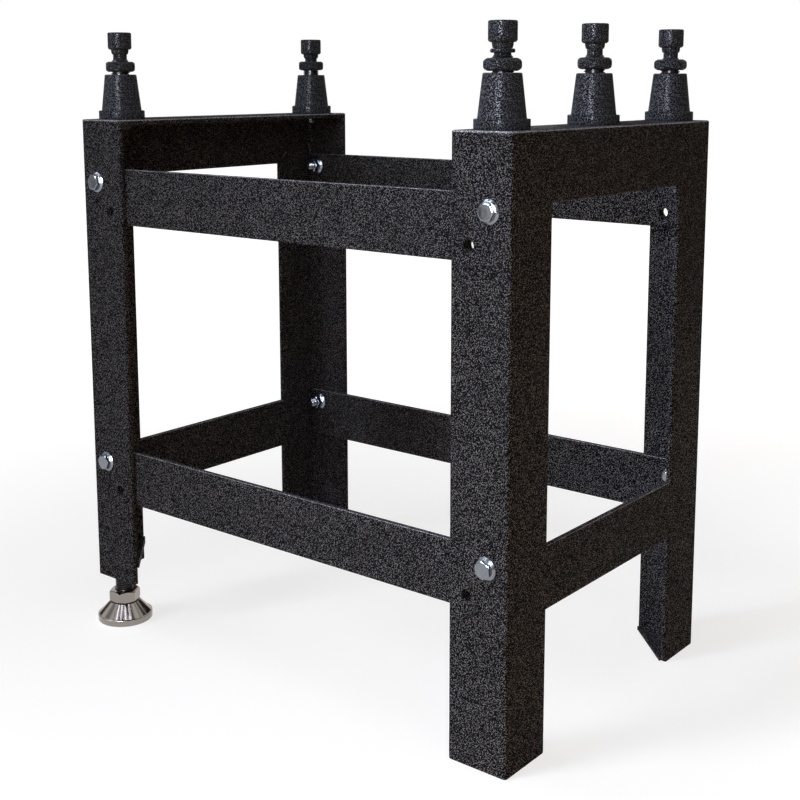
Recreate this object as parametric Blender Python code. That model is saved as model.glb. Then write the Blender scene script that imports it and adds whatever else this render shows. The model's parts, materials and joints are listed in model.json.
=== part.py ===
# Stand for a surface plate: two welded end frames of angle iron, four bolted rails,
# five screw supports with lock nuts and swivel caps, and one levelling foot.
# Metres, +Z up. The front faces -Y, the single levelling foot is at the left front.

import math

import bmesh
import bpy
from mathutils import Matrix, Vector

MM = 0.001

# Clearances
SEAT_GAP = 0.3 * MM           # between faces that touch
WELD_GAP = 0.3 * MM           # between welded pieces
THREAD_GAP = 0.3 * MM         # all round between a thread and its tapped hole
CUT_OVERRUN = 2.0 * MM        # how far a cutter runs past the face it cuts

# Overall frame, outside to outside
FRAME_LENGTH = 560 * MM
FRAME_DEPTH = 362 * MM
FRAME_HEIGHT = 568 * MM

# Rolled steel angle of the end frames
ANGLE_LEG = 63 * MM
ANGLE_THICKNESS = 6 * MM
ANGLE_HEEL_RADIUS = 3 * MM
ANGLE_TOE_RADIUS = 2.5 * MM
ANGLE_ROOT_RADIUS = 5 * MM
TOP_EDGE_RADIUS = 2.5 * MM    # ground along the mitred top edges
END_CORNER_RADIUS = 3 * MM    # at the toes of a leg's lower end

# Flat bar of the rails and the end bars
BAR_HEIGHT = 60 * MM
BAR_THICKNESS = 6 * MM
BAR_EDGE_RADIUS = 1 * MM
RAIL_END_CLEARANCE = 1 * MM   # past the angle's root fillet
TOP_RAIL_DROP = 82 * MM       # from the top of the beams to the rail's centre
TOP_RAIL_CENTRE = FRAME_HEIGHT - TOP_RAIL_DROP
LOWER_RAIL_CENTRE = 175 * MM
END_BAR_CENTRE = 168 * MM

# Two holes at each rail end: the upper outer one holds the bolt, the other stays empty
RAIL_HOLE_DIAMETER = 11 * MM
BOLT_HOLE_FROM_SIDE = 23 * MM
SPARE_HOLE_FROM_SIDE = 44 * MM
HOLE_ABOVE_CENTRE = 15 * MM

# Flange bolts and flange nuts of the rails
BOLT_DIAMETER = 10 * MM
BOLT_LENGTH = 30 * MM
BOLT_TIP_CHAMFER = 1 * MM
BOLT_FLANGE_DIAMETER = 22 * MM
BOLT_FLANGE_RIM = 1.2 * MM
BOLT_FLANGE_RISE = 1.4 * MM
BOLT_HEX_FLATS = 15 * MM
BOLT_HEAD_HEIGHT = 6.4 * MM
NUT_HEIGHT = 10 * MM
HEX_CHAMFER = 1 * MM

# Triangular plates welded into the leg ends
FOOT_PLATE_THICKNESS = 4 * MM
TAPPED_PLATE_THICKNESS = 8 * MM   # the one that takes the levelling foot
FOOT_PLATE_PROUD = 0.6 * MM

# Levelling foot under the short front left leg
SHORT_LEG_END = 54 * MM
SHORT_LEG_PLATE_RISE = 19 * MM
FOOT_INSET = 20 * MM
FOOT_DIAMETER = 61 * MM
FOOT_EDGE = 1 * MM
FOOT_RIM_HEIGHT = 7 * MM
FOOT_SHOULDER = 1.5 * MM
FOOT_CONE_HEIGHT = 14 * MM
FOOT_CONE_TOP_DIAMETER = 33 * MM
FOOT_SPIGOT_DIAMETER = 16 * MM
FOOT_SPIGOT_LENGTH = 9 * MM
FOOT_HEX_FLATS = 30 * MM
FOOT_HEX_HEIGHT = 13 * MM
FOOT_HEX_CHAMFER = 2 * MM
FOOT_STUD_DIAMETER = 20 * MM
FOOT_STUD_ABOVE_PLATE = 24 * MM
STUD_CHAMFER = 2 * MM

# Screw supports on the top flanges
SUPPORT_FROM_SIDE = 31.5 * MM
SUPPORT_FROM_END = 30 * MM
BOSS_FLANGE_DIAMETER = 48.6 * MM
BOSS_FLANGE_HEIGHT = 8.8 * MM
BOSS_CONE_BOTTOM_DIAMETER = 42.2 * MM
BOSS_CONE_TOP_DIAMETER = 33.4 * MM
BOSS_HEIGHT = 47.2 * MM
BOSS_EDGE = 1 * MM
SCREW_DIAMETER = 20 * MM
SCREW_HOLE_CLEARANCE = 1 * MM  # all round in the beam's top flange
SCREW_BELOW_BEAM = 6 * MM
LOCK_NUT_FLATS = 30 * MM
LOCK_NUT_HEIGHT = 10.8 * MM
LOCK_NUT_FACE_DIAMETER = 21.8 * MM
LOCK_NUT_CONE_DIAMETER = 27.8 * MM
LOCK_NUT_CONE_DEPTH = 1.5 * MM
LOCK_NUT_CORNER_DIAMETER = 33 * MM
LOCK_NUT_CORNER_DEPTH = 3.4 * MM
NECK_DIAMETER = 14.6 * MM
NECK_SHOWN = 5.5 * MM         # from the cap down to the thread
NECK_IN_CAP = 14 * MM
NECK_DOME = 1.5 * MM
CAP_DIAMETER = 25 * MM
CAP_HEIGHT = 23 * MM
CAP_SKIRT_HEIGHT = 5 * MM
CAP_SKIRT_TAPER = 3 * MM
CAP_SKIRT_DIAMETER = 18.4 * MM
CAP_SKIRT_WALL = 0.8 * MM
CAP_EDGE = 1 * MM
CAP_LOWER_EDGE = 1.6 * MM
RING_DIAMETER = 21.2 * MM
RING_HEIGHT = 3.4 * MM
RING_EDGE = 1.2 * MM

# How the supports are set: each lock nut above its boss, and each cap above its lock nut
LEFT_FRONT_NUT_RISE = 2.8 * MM
LEFT_FRONT_CAP_RISE = 7.8 * MM
LEFT_REAR_NUT_RISE = 5.8 * MM
LEFT_REAR_CAP_RISE = 3.9 * MM
RIGHT_FRONT_NUT_RISE = 1.4 * MM
RIGHT_FRONT_CAP_RISE = 8 * MM
RIGHT_MIDDLE_NUT_RISE = 3.6 * MM
RIGHT_MIDDLE_CAP_RISE = 7.9 * MM
RIGHT_REAR_NUT_RISE = 3.3 * MM
RIGHT_REAR_CAP_RISE = 6.9 * MM

# Facets
ARC_STEPS = 3
ROOT_STEPS = 4
HOLE_SIDES = 18
HEX_SIDES = 18                # a multiple of six, so that each hexagon corner gets a point
BOSS_SIDES = 24
CAP_SIDES = 24
FOOT_SIDES = 36
SMOOTH_ANGLE = math.radians(35)

# Where the frame's outer planes lie, with the origin at the bottom centre of the whole stand
FOOT_OVERHANG = max(FOOT_DIAMETER / 2 - FOOT_INSET, 0)
HEAD_OVERHANG = BOLT_HEAD_HEIGHT + SEAT_GAP
LEFT = (FOOT_OVERHANG - FRAME_LENGTH) / 2
RIGHT = LEFT + FRAME_LENGTH
FRONT = (max(FOOT_OVERHANG, HEAD_OVERHANG) - HEAD_OVERHANG - FRAME_DEPTH) / 2
REAR = FRONT + FRAME_DEPTH

# Each side and face: its outer plane and the direction that leads inward from it
SIDES = {"left": (LEFT, 1), "right": (RIGHT, -1)}
FACES = {"front": (FRONT, 1), "rear": (REAR, -1)}
RAIL_CENTRES = {"top": TOP_RAIL_CENTRE, "lower": LOWER_RAIL_CENTRE}

MITRE_SETBACK = WELD_GAP / math.sqrt(2)
RAIL_END_INSET = ANGLE_THICKNESS + ANGLE_ROOT_RADIUS + RAIL_END_CLEARANCE
GRIP = ANGLE_THICKNESS + BAR_THICKNESS + 2 * SEAT_GAP   # from the outer face to the nut


# Materials

def principled(name, colour, roughness, metallic):
    material = bpy.data.materials.new(name)
    material.use_nodes = True
    shader = material.node_tree.nodes["Principled BSDF"]
    shader.inputs["Base Color"].default_value = (*colour, 1)
    shader.inputs["Roughness"].default_value = roughness
    shader.inputs["Metallic"].default_value = metallic
    return material


def hammertone_paint(name):
    return principled(name, (0.022, 0.022, 0.025), 0.42, 0.0)


def zinc_plate(name):
    return principled(name, (0.56, 0.58, 0.60), 0.34, 1.0)


def black_steel(name):
    return principled(name, (0.018, 0.017, 0.017), 0.5, 0.6)


def chrome_plate(name):
    return principled(name, (0.62, 0.60, 0.58), 0.12, 1.0)


# Building blocks

def add_object(name, shape, material, parent=None, location=(0, 0, 0), rotation=(0, 0, 0)):
    """Turns a bmesh into a named object with its own material, shaded smooth up to a crease."""
    bmesh.ops.recalc_face_normals(shape, faces=shape.faces)
    mesh = bpy.data.meshes.new(name)
    shape.to_mesh(mesh)
    shape.free()
    mesh.shade_smooth()
    mesh.set_sharp_from_angle(angle=SMOOTH_ANGLE)
    mesh.materials.append(material)
    item = bpy.data.objects.new(name, mesh)
    item.parent = parent
    item.location = location
    item.rotation_euler = rotation
    bpy.context.scene.collection.objects.link(item)
    return item


def add_axis(name, location):
    """An empty on a screw's axis, which carries the pieces that turn or slide there."""
    empty = bpy.data.objects.new(name, None)
    empty.location = location
    bpy.context.scene.collection.objects.link(empty)
    return empty


def cut(item, shape):
    """Takes a cutter, which may be several closed shapes, out of an object."""
    bmesh.ops.recalc_face_normals(shape, faces=shape.faces)
    mesh = bpy.data.meshes.new(item.name + "_cutter")
    shape.to_mesh(mesh)
    shape.free()
    cutter = bpy.data.objects.new(mesh.name, mesh)
    cutter.hide_render = True
    cutter.display_type = "WIRE"
    bpy.context.scene.collection.objects.link(cutter)
    boolean = item.modifiers.new("cut", "BOOLEAN")
    boolean.operation = "DIFFERENCE"
    boolean.solver = "EXACT"
    boolean.object = cutter


def rounded_outline(corners, radii, steps):
    """A closed outline whose corners are arcs of the given radii."""
    outline = []
    for index, corner in enumerate(corners):
        point = Vector(corner)
        before = (Vector(corners[index - 1]) - point).normalized()
        after = (Vector(corners[(index + 1) % len(corners)]) - point).normalized()
        half = before.angle(after) / 2
        radius = radii[index]
        centre = point + (before + after).normalized() * radius / math.sin(half)
        start = point + before * radius / math.tan(half) - centre
        end = point + after * radius / math.tan(half) - centre
        sweep = math.pi - 2 * half
        for step in range(steps[index] + 1):
            part = sweep * step / steps[index]
            outline.append(centre + (start * math.sin(sweep - part) + end * math.sin(part)) / math.sin(sweep))
    return outline


def bridge(shape, loops, closed):
    """Joins loops of equal length into a skin, and caps the ends unless the last joins the first."""
    rows = [[shape.verts.new(point) for point in loop] for loop in loops]
    pairs = list(zip(rows, rows[1:]))
    if closed:
        pairs.append((rows[-1], rows[0]))
    else:
        shape.faces.new(rows[0])
        shape.faces.new(rows[-1])
    for low, high in pairs:
        for index in range(len(low)):
            shape.faces.new((low[index - 1], low[index], high[index], high[index - 1]))


def swept(*loops):
    """A solid between two end loops."""
    shape = bmesh.new()
    bridge(shape, loops, closed=False)
    return shape


def add_cylinder(shape, centre, direction, diameter, length):
    """Adds a closed cylinder, centred on a point, to a cutter."""
    turn = Vector(direction).to_track_quat("Z", "Y").to_matrix().to_4x4()
    bmesh.ops.create_cone(
        shape, cap_ends=True, segments=HOLE_SIDES, radius1=diameter / 2, radius2=diameter / 2,
        depth=length, matrix=Matrix.Translation(centre) @ turn)


def round_level(height, radius):
    return height, lambda angle: radius


def hex_level(height, flats, corners=math.inf):
    """A hexagon with a corner at angle 0, whose corners may be turned down to a diameter."""
    sector = math.radians(60)
    return height, lambda angle: min(flats / 2 / math.cos(angle % sector - sector / 2), corners / 2)


def turned(levels, sides, bored=False):
    """A piece built up along Z from round and hexagonal levels; a bored one closes through its hole."""
    loops = []
    for height, radius in levels:
        angles = [math.tau * side / sides for side in range(sides)]
        loops.append([(radius(a) * math.cos(a), radius(a) * math.sin(a), height) for a in angles])
    shape = bmesh.new()
    bridge(shape, loops, closed=bored)
    return shape


# Angle iron of the end frames

def angle_section():
    """The L section: distances from its two outer faces."""
    leg, wall = ANGLE_LEG, ANGLE_THICKNESS
    toe = min(ANGLE_TOE_RADIUS, 0.45 * wall)
    corners = [(0, 0), (leg, 0), (leg, wall), (wall, wall), (wall, leg), (0, leg)]
    radii = [ANGLE_HEEL_RADIUS, toe, toe, ANGLE_ROOT_RADIUS, toe, toe]
    steps = [ARC_STEPS, ARC_STEPS, ARC_STEPS, ROOT_STEPS, ARC_STEPS, ARC_STEPS]
    return rounded_outline(corners, radii, steps)


def corner_waste(radius, steps):
    """Outline of what a rounded corner loses, measured inward from the corner's two faces."""
    waste = [(-CUT_OVERRUN, -CUT_OVERRUN), (radius, -CUT_OVERRUN)]
    for step in range(steps + 1):
        angle = math.pi / 2 * step / steps
        waste.append((radius - radius * math.sin(angle), radius - radius * math.cos(angle)))
    waste.append((-CUT_OVERRUN, radius))
    return waste


def add_top_edge_rounding(shape, side, face):
    """Adds the waste along the top edge of a mitred corner to a cutter."""
    outer, inward = SIDES[side]
    plane, back = FACES[face]
    ends = (outer - inward * CUT_OVERRUN, outer + inward * (ANGLE_LEG + CUT_OVERRUN))
    waste = corner_waste(TOP_EDGE_RADIUS, 2 * ARC_STEPS)
    loops = [[(x, plane + back * depth, FRAME_HEIGHT - drop) for depth, drop in waste] for x in ends]
    bridge(shape, loops, closed=False)


def add_end_corner_rounding(shape, side, face):
    """Adds the waste at the two lower toe corners of a leg to a cutter."""
    outer, inward = SIDES[side]
    plane, back = FACES[face]
    low = leg_end(side, face)
    waste = [(ANGLE_LEG - depth, low + rise) for depth, rise in corner_waste(END_CORNER_RADIUS, ARC_STEPS)]
    walls = (-CUT_OVERRUN, ANGLE_THICKNESS + CUT_OVERRUN)
    front_toe = [[(outer + inward * u, plane + back * wall, z) for u, z in waste] for wall in walls]
    side_toe = [[(outer + inward * wall, plane + back * v, z) for v, z in waste] for wall in walls]
    bridge(shape, front_toe, closed=False)
    bridge(shape, side_toe, closed=False)


def leg_end(side, face):
    return SHORT_LEG_END if (side, face) == ("left", "front") else 0


def make_leg(side, face):
    outer, inward = SIDES[side]
    plane, back = FACES[face]
    section = angle_section()
    places = [(outer + inward * u, plane + back * v) for u, v in section]
    bottom = [(x, y, leg_end(side, face)) for x, y in places]
    top = [(x, y, FRAME_HEIGHT - v - MITRE_SETBACK) for (x, y), (u, v) in zip(places, section)]
    leg = add_object(f"{side}_{face}_leg", swept(bottom, top), hammertone_paint(f"{side}_{face}_leg_paint"))
    cutter = bmesh.new()
    add_rail_holes(cutter, side, plane + back * ANGLE_THICKNESS / 2, RAIL_CENTRES.values(), ANGLE_THICKNESS)
    add_top_edge_rounding(cutter, side, face)
    add_end_corner_rounding(cutter, side, face)
    cut(leg, cutter)


def make_top_beam(side):
    outer, inward = SIDES[side]
    section = angle_section()
    front = [(outer + inward * u, FRONT + d + MITRE_SETBACK, FRAME_HEIGHT - d) for u, d in section]
    rear = [(outer + inward * u, REAR - d - MITRE_SETBACK, FRAME_HEIGHT - d) for u, d in section]
    beam = add_object(f"{side}_top_beam", swept(front, rear), hammertone_paint(f"{side}_top_beam_paint"))
    cutter = bmesh.new()
    for face in FACES:
        add_top_edge_rounding(cutter, side, face)
    for x, y in (place for (at, _), place in support_places().items() if at == side):
        add_cylinder(
            cutter, (x, y, FRAME_HEIGHT - ANGLE_THICKNESS / 2), (0, 0, 1),
            SCREW_DIAMETER + 2 * SCREW_HOLE_CLEARANCE, ANGLE_THICKNESS + 2 * CUT_OVERRUN)
    cut(beam, cutter)


# Flat bars

def bar_section():
    """Height and thickness outline of the flat bar, centred on its height, from one face."""
    half = BAR_HEIGHT / 2
    corners = [(-half, 0), (half, 0), (half, BAR_THICKNESS), (-half, BAR_THICKNESS)]
    radius = min(BAR_EDGE_RADIUS, 0.45 * BAR_THICKNESS)
    return rounded_outline(corners, [radius] * 4, [ARC_STEPS] * 4)


def make_end_bar(side):
    outer, inward = SIDES[side]
    ends = (FRONT + ANGLE_LEG + WELD_GAP, REAR - ANGLE_LEG - WELD_GAP)
    loops = [[(outer + inward * depth, y, END_BAR_CENTRE + h) for h, depth in bar_section()] for y in ends]
    add_object(f"{side}_end_bar", swept(*loops), hammertone_paint(f"{side}_end_bar_paint"))


def add_rail_holes(shape, side, y, centres, wall):
    """Adds the bolt hole and the spare hole of each rail end to a cutter."""
    outer, inward = SIDES[side]
    holes = ((BOLT_HOLE_FROM_SIDE, HOLE_ABOVE_CENTRE), (SPARE_HOLE_FROM_SIDE, -HOLE_ABOVE_CENTRE))
    for centre in centres:
        for from_side, rise in holes:
            add_cylinder(
                shape, (outer + inward * from_side, y, centre + rise), (0, 1, 0),
                RAIL_HOLE_DIAMETER, wall + 2 * CUT_OVERRUN)


def make_rail(face, row):
    plane, back = FACES[face]
    seat = plane + back * (ANGLE_THICKNESS + SEAT_GAP)
    centre = RAIL_CENTRES[row]
    ends = (LEFT + RAIL_END_INSET, RIGHT - RAIL_END_INSET)
    loops = [[(x, seat + back * depth, centre + h) for h, depth in bar_section()] for x in ends]
    rail = add_object(f"{face}_{row}_rail", swept(*loops), hammertone_paint(f"{face}_{row}_rail_paint"))
    cutter = bmesh.new()
    for side in SIDES:
        add_rail_holes(cutter, side, seat + back * BAR_THICKNESS / 2, [centre], BAR_THICKNESS)
    cut(rail, cutter)


# Bolts and nuts of the rails

def flange_bolt():
    """Hex flange bolt: the flange seats at height 0 and the shank hangs below."""
    shank = BOLT_DIAMETER / 2
    flange = BOLT_FLANGE_DIAMETER / 2
    return turned([
        round_level(-BOLT_LENGTH, shank - BOLT_TIP_CHAMFER),
        round_level(BOLT_TIP_CHAMFER - BOLT_LENGTH, shank),
        round_level(0, shank),
        round_level(0, flange),
        round_level(BOLT_FLANGE_RIM, flange),
        hex_level(BOLT_FLANGE_RIM + BOLT_FLANGE_RISE, BOLT_HEX_FLATS),
        hex_level(BOLT_HEAD_HEIGHT - HEX_CHAMFER, BOLT_HEX_FLATS),
        round_level(BOLT_HEAD_HEIGHT, BOLT_HEX_FLATS / 2 - HEX_CHAMFER / 2),
    ], HEX_SIDES)


def flange_nut():
    """Hex flange nut: the flange seats at height 0."""
    bore = BOLT_DIAMETER / 2 + THREAD_GAP
    flange = BOLT_FLANGE_DIAMETER / 2
    return turned([
        round_level(0, bore),
        round_level(0, flange),
        round_level(BOLT_FLANGE_RIM, flange),
        hex_level(BOLT_FLANGE_RIM + BOLT_FLANGE_RISE, BOLT_HEX_FLATS),
        hex_level(NUT_HEIGHT - HEX_CHAMFER, BOLT_HEX_FLATS),
        round_level(NUT_HEIGHT, BOLT_HEX_FLATS / 2 - HEX_CHAMFER / 2),
        round_level(NUT_HEIGHT, bore),
    ], HEX_SIDES, bored=True)


def make_rail_fastening(face, row, side):
    plane, back = FACES[face]
    outer, inward = SIDES[side]
    x = outer + inward * BOLT_HOLE_FROM_SIDE
    z = RAIL_CENTRES[row] + HOLE_ABOVE_CENTRE
    outward_turn = (back * math.pi / 2, 0, 0)
    inward_turn = (-back * math.pi / 2, 0, 0)
    name = f"{face}_{row}_{side}"
    add_object(
        f"{name}_bolt", flange_bolt(), zinc_plate(f"{name}_bolt_zinc"),
        location=(x, plane - back * SEAT_GAP, z), rotation=outward_turn)
    add_object(
        f"{name}_nut", flange_nut(), zinc_plate(f"{name}_nut_zinc"),
        location=(x, plane + back * GRIP, z), rotation=inward_turn)


# Plates in the leg ends

def make_foot_plate(side, face):
    """Triangular plate across the inside of the angle, cut back at the root fillet."""
    outer, inward = SIDES[side]
    plane, back = FACES[face]
    wall = ANGLE_THICKNESS + WELD_GAP
    root = ANGLE_THICKNESS + ANGLE_ROOT_RADIUS + WELD_GAP
    tip = ANGLE_LEG + FOOT_PLATE_PROUD
    outline = [(wall, root), (wall, tip), (tip, wall), (root, wall)]
    base = leg_end(side, face)
    thickness = FOOT_PLATE_THICKNESS
    levelled = base > 0
    if levelled:
        base += SHORT_LEG_PLATE_RISE
        thickness = TAPPED_PLATE_THICKNESS
    faces = (base, base + thickness)
    loops = [[(outer + inward * u, plane + back * v, z) for u, v in outline] for z in faces]
    name = f"{side}_{face}_foot_plate"
    plate = add_object(name, swept(*loops), hammertone_paint(f"{name}_paint"))
    if levelled:
        cutter = bmesh.new()
        add_cylinder(
            cutter, (*foot_place(), base + thickness / 2), (0, 0, 1),
            FOOT_STUD_DIAMETER + 2 * THREAD_GAP, thickness + 2 * CUT_OVERRUN)
        cut(plate, cutter)


# Levelling foot

def foot_place():
    return LEFT + FOOT_INSET, FRONT + FOOT_INSET


def foot_base():
    """Turned foot with a cylindrical rim, a cone and a socket for the stud's spigot."""
    rim = FOOT_DIAMETER / 2
    socket = FOOT_SPIGOT_DIAMETER / 2 + SEAT_GAP
    top = FOOT_RIM_HEIGHT + FOOT_CONE_HEIGHT
    return turned([
        round_level(0, rim - FOOT_EDGE),
        round_level(FOOT_EDGE, rim),
        round_level(FOOT_RIM_HEIGHT - FOOT_EDGE, rim),
        round_level(FOOT_RIM_HEIGHT, rim - FOOT_SHOULDER),
        round_level(top, FOOT_CONE_TOP_DIAMETER / 2),
        round_level(top, socket),
        round_level(top - FOOT_SPIGOT_LENGTH - SEAT_GAP, socket),
    ], FOOT_SIDES)


def foot_stud():
    """Stud with a hexagon above the foot and a plain spigot in its socket."""
    seat = FOOT_RIM_HEIGHT + FOOT_CONE_HEIGHT + SEAT_GAP
    hex_top = seat + FOOT_HEX_HEIGHT
    end = SHORT_LEG_END + SHORT_LEG_PLATE_RISE + TAPPED_PLATE_THICKNESS + FOOT_STUD_ABOVE_PLATE
    chamfered = FOOT_HEX_FLATS / 2 - FOOT_HEX_CHAMFER / 4
    stud = FOOT_STUD_DIAMETER / 2
    return turned([
        round_level(seat - FOOT_SPIGOT_LENGTH, FOOT_SPIGOT_DIAMETER / 2),
        round_level(seat, FOOT_SPIGOT_DIAMETER / 2),
        round_level(seat, chamfered),
        hex_level(seat + FOOT_HEX_CHAMFER, FOOT_HEX_FLATS),
        hex_level(hex_top - FOOT_HEX_CHAMFER, FOOT_HEX_FLATS),
        round_level(hex_top, chamfered),
        round_level(hex_top, stud),
        round_level(end - STUD_CHAMFER, stud),
        round_level(end, stud - STUD_CHAMFER),
    ], HEX_SIDES)


def make_levelling_foot():
    axis = add_axis("foot_axis", (*foot_place(), 0))
    add_object("foot_base", foot_base(), chrome_plate("foot_base_chrome"), axis)
    add_object("foot_stud", foot_stud(), chrome_plate("foot_stud_chrome"), axis)


# Screw supports

def support_places():
    """Where the supports stand: two on the left beam, three on the right one."""
    rows = {
        "front": FRONT + SUPPORT_FROM_END,
        "middle": (FRONT + REAR) / 2,
        "rear": REAR - SUPPORT_FROM_END,
    }
    places = {}
    for side, (outer, inward) in SIDES.items():
        for row, y in rows.items():
            if (side, row) != ("left", "middle"):
                places[side, row] = (outer + inward * SUPPORT_FROM_SIDE, y)
    return places


SUPPORT_SETTINGS = {
    ("left", "front"): (LEFT_FRONT_NUT_RISE, LEFT_FRONT_CAP_RISE),
    ("left", "rear"): (LEFT_REAR_NUT_RISE, LEFT_REAR_CAP_RISE),
    ("right", "front"): (RIGHT_FRONT_NUT_RISE, RIGHT_FRONT_CAP_RISE),
    ("right", "middle"): (RIGHT_MIDDLE_NUT_RISE, RIGHT_MIDDLE_CAP_RISE),
    ("right", "rear"): (RIGHT_REAR_NUT_RISE, RIGHT_REAR_CAP_RISE),
}


def nut_base(support):
    """Height of a support's lock nut above the beam's top face."""
    return SEAT_GAP + BOSS_HEIGHT + SUPPORT_SETTINGS[support][0]


def cap_base(support):
    """Height of a support's cap above the beam's top face."""
    return nut_base(support) + LOCK_NUT_HEIGHT + SUPPORT_SETTINGS[support][1]


# The screws are alike, so the one that is turned in the furthest reaches deepest below its beam
SCREW_LENGTH = ANGLE_THICKNESS + SCREW_BELOW_BEAM + min(cap_base(support) for support in SUPPORT_SETTINGS)


def boss():
    """Turned boss with a base flange, a cone and a tapped bore."""
    flange = BOSS_FLANGE_DIAMETER / 2
    cone_top = BOSS_CONE_TOP_DIAMETER / 2
    bore = SCREW_DIAMETER / 2 + THREAD_GAP
    return turned([
        round_level(0, bore),
        round_level(0, flange - BOSS_EDGE),
        round_level(BOSS_EDGE, flange),
        round_level(BOSS_FLANGE_HEIGHT - BOSS_EDGE, flange),
        round_level(BOSS_FLANGE_HEIGHT, flange - BOSS_EDGE),
        round_level(BOSS_FLANGE_HEIGHT, BOSS_CONE_BOTTOM_DIAMETER / 2),
        round_level(BOSS_HEIGHT - BOSS_EDGE, cone_top),
        round_level(BOSS_HEIGHT, cone_top - BOSS_EDGE),
        round_level(BOSS_HEIGHT, bore),
    ], BOSS_SIDES, bored=True)


def support_screw():
    """Screw with a plain neck that ends in a dome inside the cap, whose lower edge is at height 0."""
    thread = SCREW_DIAMETER / 2
    neck = NECK_DIAMETER / 2
    return turned([
        round_level(-SCREW_LENGTH, thread - STUD_CHAMFER),
        round_level(STUD_CHAMFER - SCREW_LENGTH, thread),
        round_level(-NECK_SHOWN - (thread - neck), thread),
        round_level(-NECK_SHOWN, neck),
        round_level(NECK_IN_CAP - NECK_DOME, neck),
        round_level(NECK_IN_CAP, neck - 2 * NECK_DOME),
    ], HEX_SIDES)


def lock_nut():
    """Hexagon nut with coned faces and turned corners."""
    bore = SCREW_DIAMETER / 2 + THREAD_GAP
    face = LOCK_NUT_FACE_DIAMETER / 2
    cone = LOCK_NUT_CONE_DIAMETER / 2
    return turned([
        round_level(0, bore),
        round_level(0, face),
        round_level(LOCK_NUT_CONE_DEPTH, cone),
        hex_level(LOCK_NUT_CORNER_DEPTH, LOCK_NUT_FLATS, LOCK_NUT_CORNER_DIAMETER),
        hex_level(LOCK_NUT_HEIGHT - LOCK_NUT_CORNER_DEPTH, LOCK_NUT_FLATS, LOCK_NUT_CORNER_DIAMETER),
        round_level(LOCK_NUT_HEIGHT - LOCK_NUT_CONE_DEPTH, cone),
        round_level(LOCK_NUT_HEIGHT, face),
        round_level(LOCK_NUT_HEIGHT, bore),
    ], HEX_SIDES, bored=True)


def swivel_cap():
    """Cap with a stepped, tapered skirt and a blind bore for the neck."""
    bore = NECK_DIAMETER / 2 + SEAT_GAP
    skirt = CAP_SKIRT_DIAMETER / 2
    head = CAP_DIAMETER / 2
    return turned([
        round_level(NECK_IN_CAP + SEAT_GAP, bore),
        round_level(0, bore),
        round_level(0, bore + CAP_SKIRT_WALL),
        round_level(CAP_SKIRT_TAPER, skirt),
        round_level(CAP_SKIRT_HEIGHT, skirt),
        round_level(CAP_SKIRT_HEIGHT, head - CAP_LOWER_EDGE),
        round_level(CAP_SKIRT_HEIGHT + CAP_LOWER_EDGE, head),
        round_level(CAP_HEIGHT - CAP_EDGE, head),
        round_level(CAP_HEIGHT, head - CAP_EDGE),
    ], CAP_SIDES)


def neck_ring():
    """Loose ring on the neck, just under the cap."""
    bore = NECK_DIAMETER / 2 + SEAT_GAP
    rim = RING_DIAMETER / 2
    return turned([
        round_level(0, bore),
        round_level(0, rim - RING_EDGE),
        round_level(RING_EDGE, rim),
        round_level(RING_HEIGHT - RING_EDGE, rim),
        round_level(RING_HEIGHT, rim - RING_EDGE),
        round_level(RING_HEIGHT, bore),
    ], CAP_SIDES, bored=True)


def make_support(side, row):
    name = f"{side}_{row}"
    axis = add_axis(f"{name}_axis", (*support_places()[side, row], FRAME_HEIGHT))
    nut_seat = (0, 0, nut_base((side, row)))
    cap_seat = (0, 0, cap_base((side, row)))
    add_object(f"{name}_boss", boss(), hammertone_paint(f"{name}_boss_paint"), axis, (0, 0, SEAT_GAP))
    add_object(f"{name}_screw", support_screw(), black_steel(f"{name}_screw_steel"), axis, cap_seat)
    add_object(f"{name}_lock_nut", lock_nut(), hammertone_paint(f"{name}_nut_paint"), axis, nut_seat)
    add_object(f"{name}_cap", swivel_cap(), hammertone_paint(f"{name}_cap_paint"), axis, cap_seat)
    if (side, row) == ("right", "front"):
        ring_seat = (0, 0, cap_base((side, row)) - SEAT_GAP - RING_HEIGHT)
        add_object(f"{name}_ring", neck_ring(), hammertone_paint(f"{name}_ring_paint"), axis, ring_seat)


def main():
    for item in list(bpy.data.objects):
        bpy.data.objects.remove(item)
    for side in SIDES:
        for face in FACES:
            make_leg(side, face)
            make_foot_plate(side, face)
        make_top_beam(side)
        make_end_bar(side)
    for face in FACES:
        for row in RAIL_CENTRES:
            make_rail(face, row)
            for side in SIDES:
                make_rail_fastening(face, row, side)
    for side, row in support_places():
        make_support(side, row)
    make_levelling_foot()


main()
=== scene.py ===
import json
import math

import bmesh
import bpy
from mathutils import Matrix, Vector


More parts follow.
